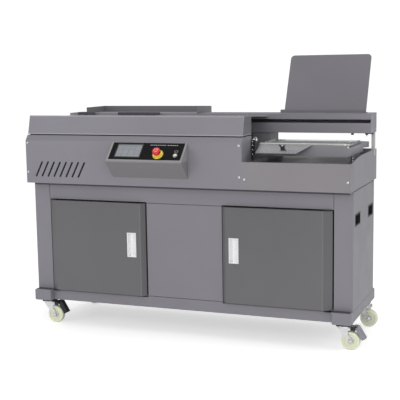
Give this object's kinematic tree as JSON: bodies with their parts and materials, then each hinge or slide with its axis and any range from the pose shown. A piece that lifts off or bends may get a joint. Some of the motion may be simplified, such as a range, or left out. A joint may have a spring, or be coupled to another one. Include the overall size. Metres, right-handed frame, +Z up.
{
  "type": "perfect binding machine",
  "caption": "Floor-standing glue binding machine: storage cabinet on casters, covered milling and gluing body, sloping control console, cover table and a leaning book rest.",
  "frame": {"origin": "on the floor, under the middle of the whole machine's bounding box", "axes": "+X towards the loading end (the operator's right), +Y from the operator's side to the rear, +Z up"},
  "size_m": [1.473, 0.6378, 1.1724],
  "materials": {
    "body_paint": "satin powder coat, fine texture",
    "door_paint": "satin powder coat, darker grey",
    "rest_paint": "satin powder coat",
    "light_paint": "satin powder coat, pale",
    "black_plastic": "moulded, fine grain",
    "zinc_steel": "zinc plated",
    "zinc_bright": "bright plated",
    "stainless": "brushed stainless",
    "table_steel": "satin powder coat with a worn bright front edge",
    "polished_plate": "polished sheet",
    "ground_steel": "ground and oiled",
    "motor_black": "semi-gloss black",
    "cast_alloy": "bead-blasted casting",
    "panel_black": "fascia film",
    "screen_glass": "display behind a clear front",
    "yellow_plastic": "moulded",
    "red_plastic": "moulded",
    "wheel_cream": "moulded nylon"
  },
  "bodies": {
    "frame": {"side_beams": "body_paint", "corner_posts": "body_paint", "cabinet_rails": "body_paint", "centre_panel": "body_paint", "cabinet_liners": "body_paint", "side_panels": "body_paint", "cup_handles": "black_plastic", "door_pivots": "motor_black", "deck_plate": "body_paint", "body_front_panel": "body_paint", "end_panels": "body_paint", "body_back_panel": "body_paint", "tray_front_panel": "body_paint", "tray_floor": "stainless", "cover_table": "table_steel", "guide_plate": "polished_plate", "housing_shell": "body_paint", "housing_supports": "body_paint", "support_post": "light_paint", "guide_rails": "ground_steel", "drive_motors": "motor_black", "book_rest": "rest_paint", "paper_tray": "rest_paint", "cover_hinges": "zinc_steel", "control_box": "body_paint", "control_panel": "panel_black", "touch_screen": "screen_glass", "estop_collar": "yellow_plastic", "glue_tank": "cast_alloy", "electronics_box": "motor_black", "panel_screws": "zinc_bright", "caster_plates": "zinc_steel"},
    "left_door_leaf": {"left_door": "door_paint", "left_door_pull": "zinc_bright"},
    "right_door_leaf": {"right_door": "door_paint", "right_door_pull": "zinc_bright"},
    "lid": {"top_cover": "body_paint"},
    "carriage": {"carriage_block": "cast_alloy", "rear_clamp_plate": "ground_steel", "clamp_rods": "ground_steel"},
    "front_jaw": {"front_clamp_plate": "ground_steel"},
    "screw": {"lead_screw": "ground_steel"},
    "cutter": {"milling_cutter": "ground_steel"},
    "roller": {"glue_roller": "ground_steel"},
    "front_nip": {"nip_plate_front": "ground_steel"},
    "rear_nip": {"nip_plate_rear": "ground_steel"},
    "cover_side_guide": {"side_guide": "zinc_steel"},
    "wing_knob": {"guide_knob": "black_plastic"},
    "estop": {"estop_button": "red_plastic"},
    "start": {"start_button": "zinc_bright"},
    "caster_front_left": {"fork_front_left": "zinc_steel"},
    "roll_front_left": {"wheel_front_left": "wheel_cream"},
    "caster_rear_left": {"fork_rear_left": "zinc_steel"},
    "roll_rear_left": {"wheel_rear_left": "wheel_cream"},
    "brake_left": {"brake_pedal_left": "black_plastic"},
    "caster_front_right": {"fork_front_right": "zinc_steel"},
    "roll_front_right": {"wheel_front_right": "wheel_cream"},
    "caster_rear_right": {"fork_rear_right": "zinc_steel"},
    "roll_rear_right": {"wheel_rear_right": "wheel_cream"},
    "brake_right": {"brake_pedal_right": "zinc_steel"}
  },
  "joints": [
    {"name": "left_door_hinge", "type": "hinge", "parent": "frame", "child": "left_door_leaf", "pos_m": [-0.63403, -0.19415, 0.3625], "axis": [0, 0, -1], "range_deg": [0, 105]},
    {"name": "right_door_hinge", "type": "hinge", "parent": "frame", "child": "right_door_leaf", "pos_m": [0.58897, -0.19415, 0.3625], "axis": [0, 0, 1], "range_deg": [0, 105]},
    {"name": "top_cover_hinge", "type": "hinge", "parent": "frame", "child": "lid", "pos_m": [-0.24003, 0.11785, 0.908], "axis": [-1, 0, 0], "range_deg": [0, 70]},
    {"name": "carriage_slide", "type": "slide", "parent": "frame", "child": "carriage", "axis": [1, 0, 0], "range_m": [0, 0.98]},
    {"name": "screw_spin", "type": "hinge", "parent": "frame", "child": "screw", "pos_m": [-0.03103, 0.17585, 0.868], "axis": [1, 0, 0], "range_deg": [0, 8821]},
    {"name": "front_jaw_slide", "type": "slide", "parent": "carriage", "child": "front_jaw", "axis": [0, 1, 0], "range_m": [0, 0.058]},
    {"name": "cutter_spin", "type": "hinge", "parent": "frame", "child": "cutter", "pos_m": [-0.11103, 0.09185, 0.804], "axis": [0, 0, 1], "continuous": true},
    {"name": "roller_spin", "type": "hinge", "parent": "frame", "child": "roller", "pos_m": [0.05897, 0.09185, 0.778], "axis": [0, 1, 0], "continuous": true},
    {"name": "front_nip_slide", "type": "slide", "parent": "frame", "child": "front_nip", "axis": [0, 1, 0], "range_m": [0, 0.014]},
    {"name": "rear_nip_slide", "type": "slide", "parent": "frame", "child": "rear_nip", "axis": [0, -1, 0], "range_m": [0, 0.014]},
    {"name": "side_guide_slide", "type": "slide", "parent": "frame", "child": "cover_side_guide", "axis": [1, 0, 0], "range_m": [0, 0.12]},
    {"name": "wing_knob_turn", "type": "hinge", "parent": "frame", "child": "wing_knob", "pos_m": [0.39497, -0.15435, 0.79977], "axis": [0, -0.4648, 0.8854], "range_deg": [0, 180]},
    {"name": "estop_press", "type": "slide", "parent": "frame", "child": "estop", "axis": [0, 0.7122, -0.7019], "range_m": [0, 0.004]},
    {"name": "start_press", "type": "slide", "parent": "frame", "child": "start", "axis": [0, 0.7122, -0.7019], "range_m": [0, 0.002]},
    {"name": "caster_swivel_front_left", "type": "hinge", "parent": "frame", "child": "caster_front_left", "pos_m": [-0.69303, -0.15115, 0.088], "axis": [0, 0, 1], "continuous": true},
    {"name": "wheel_spin_front_left", "type": "hinge", "parent": "caster_front_left", "child": "roll_front_left", "pos_m": [-0.66603, -0.15115, 0.0375], "axis": [0, 1, 0], "continuous": true},
    {"name": "caster_swivel_rear_left", "type": "hinge", "parent": "frame", "child": "caster_rear_left", "pos_m": [-0.69303, 0.21085, 0.088], "axis": [0, 0, 1], "continuous": true},
    {"name": "wheel_spin_rear_left", "type": "hinge", "parent": "caster_rear_left", "child": "roll_rear_left", "pos_m": [-0.66603, 0.21085, 0.0375], "axis": [0, 1, 0], "continuous": true},
    {"name": "brake_press_left", "type": "hinge", "parent": "caster_front_left", "child": "brake_left", "pos_m": [-0.65903, -0.15115, 0.088], "axis": [0, 1, 0], "range_deg": [0, 4], "stiffness_Nm_per_rad": 8},
    {"name": "caster_swivel_front_right", "type": "hinge", "parent": "frame", "child": "caster_front_right", "pos_m": [0.64797, -0.15115, 0.088], "axis": [0, 0, 1], "continuous": true},
    {"name": "wheel_spin_front_right", "type": "hinge", "parent": "caster_front_right", "child": "roll_front_right", "pos_m": [0.67497, -0.15115, 0.0375], "axis": [0, 1, 0], "continuous": true},
    {"name": "caster_swivel_rear_right", "type": "hinge", "parent": "frame", "child": "caster_rear_right", "pos_m": [0.64797, 0.21085, 0.088], "axis": [0, 0, 1], "continuous": true},
    {"name": "wheel_spin_rear_right", "type": "hinge", "parent": "caster_rear_right", "child": "roll_rear_right", "pos_m": [0.67497, 0.21085, 0.0375], "axis": [0, 1, 0], "continuous": true},
    {"name": "brake_press_right", "type": "hinge", "parent": "caster_front_right", "child": "brake_right", "pos_m": [0.68197, -0.15115, 0.088], "axis": [0, 1, 0], "range_deg": [0, 4], "stiffness_Nm_per_rad": 8}
  ],
  "couplings": [
    {"joint": "screw_spin", "follows": "carriage_slide", "rad_per_m": 157.08},
    {"joint": "rear_nip_slide", "follows": "front_nip_slide", "ratio": 1}
  ]
}
